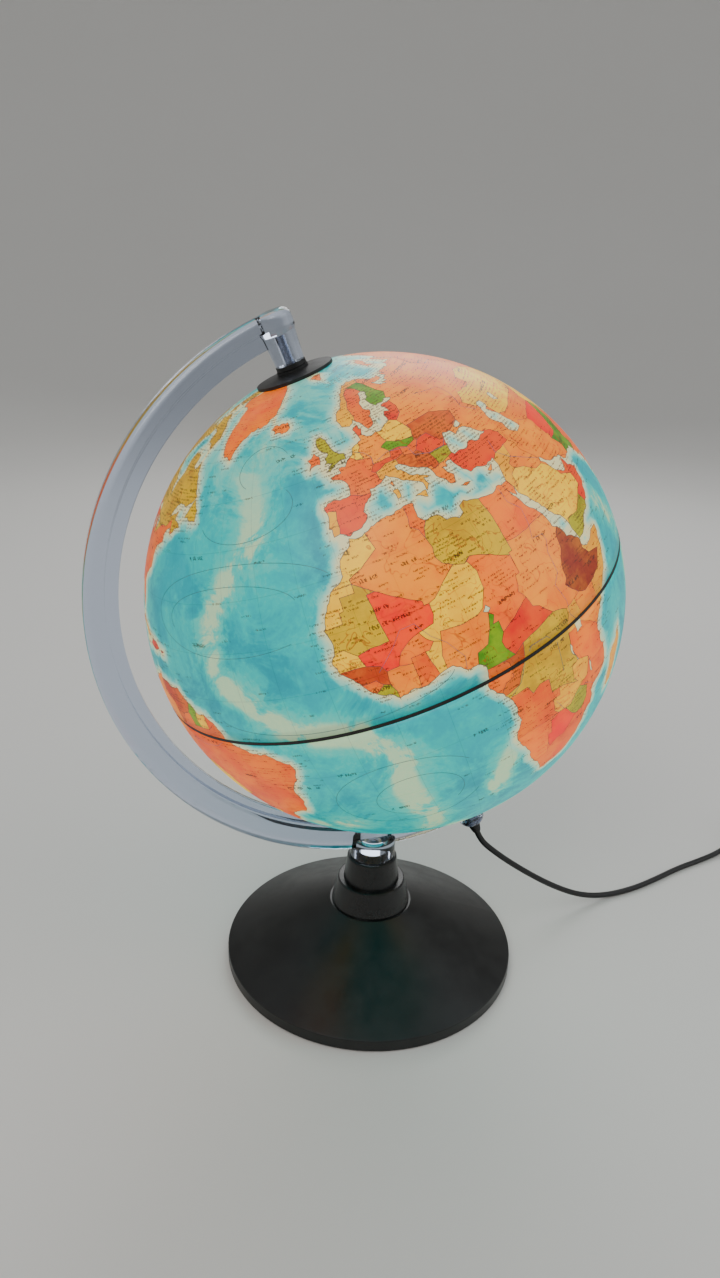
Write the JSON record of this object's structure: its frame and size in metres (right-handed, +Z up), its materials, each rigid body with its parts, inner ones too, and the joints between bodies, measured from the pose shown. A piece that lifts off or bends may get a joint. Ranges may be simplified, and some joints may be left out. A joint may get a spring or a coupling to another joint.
{
  "type": "desktop globe",
  "caption": "Illuminated desk globe turning on a tilted axis between the ends of a clear half-meridian arm, on a round weighted black foot, with a mains lead, hand switch and plug.",
  "frame": {"origin": "centre of the underside of the round foot, on the table", "axes": "+Z up along the stem; the clear arm lies in the XZ plane and the north pole leans 23.5 degrees towards -X; the lead leaves towards +X"},
  "size_m": [0.7518, 0.3002, 0.4474],
  "materials": {
    "foot_plastic": "satin moulded, fine grain",
    "stem_plastic": "semi-gloss moulded",
    "inner_black_plastic": "moulded",
    "pad_foam": "foam pad",
    "steel": "zinc plated",
    "ballast_steel": "raw pressed",
    "brass": "turned",
    "clear_plastic": "clear, polished",
    "map_ball": "printed, satin varnish",
    "seam_tape": "printed tape",
    "white_plastic": "moulded",
    "pole_plastic": "moulded",
    "aluminium_cap": "pressed thread",
    "bulb_glass": "frosted",
    "cord_rubber": "round flexible lead",
    "tie_plastic": "strip tie",
    "switch_plastic": "moulded",
    "rocker_plastic": "moulded",
    "plug_plastic": "moulded",
    "plated_pins": "nickel plated"
  },
  "bodies": {
    "stand": {"base_shell": "foot_plastic", "base_pad": "pad_foam", "base_bottom_plate": "inner_black_plastic", "base_cover_screws": "steel", "base_ballast": "ballast_steel", "stem_collar": "stem_plastic", "stem_socket": "stem_plastic", "stem_bolt": "steel", "stem_bolt_washer": "steel", "arm_foot_insert": "brass", "meridian_arm": "clear_plastic", "north_spacer_ring": "pole_plastic", "north_pivot_pin": "steel", "south_spacer_ring": "pole_plastic", "lamp_tube": "steel", "lamp_tube_nut": "steel", "cord_strain_relief": "cord_rubber", "lamp_inner_lead": "cord_rubber", "lampholder_body": "white_plastic", "lampholder_shell": "brass", "lampholder_contact": "brass", "bulb_cap": "aluminium_cap", "bulb_glass": "bulb_glass", "mains_cord": "cord_rubber", "mains_cord_link": "cord_rubber", "mains_cord_tail": "cord_rubber", "mains_cord_coil": "cord_rubber", "coil_tie": "tie_plastic", "switch_lower_case": "switch_plastic", "switch_upper_case": "switch_plastic", "switch_case_screw": "steel", "plug_body": "plug_plastic", "plug_pins": "plated_pins"},
    "ball": {"globe_north_half": "map_ball", "globe_south_half": "map_ball", "equator_seam_band": "seam_tape", "equator_joint_ring": "white_plastic", "north_pole_dial": "pole_plastic", "north_pivot_bush": "inner_black_plastic", "south_bearing_bush": "pole_plastic"},
    "rocker": {"switch_rocker": "rocker_plastic"}
  },
  "joints": [
    {"name": "ball_spin", "type": "hinge", "parent": "stand", "child": "ball", "pos_m": [0, 0, 0.27435], "axis": [-0.3987, 0, 0.9171], "continuous": true},
    {"name": "switch_rocker_tilt", "type": "hinge", "parent": "stand", "child": "rocker", "pos_m": [0.412, 0.054, 0.0116], "axis": [0.309, -0.9511, 0], "range_deg": [-14, 0]}
  ]
}
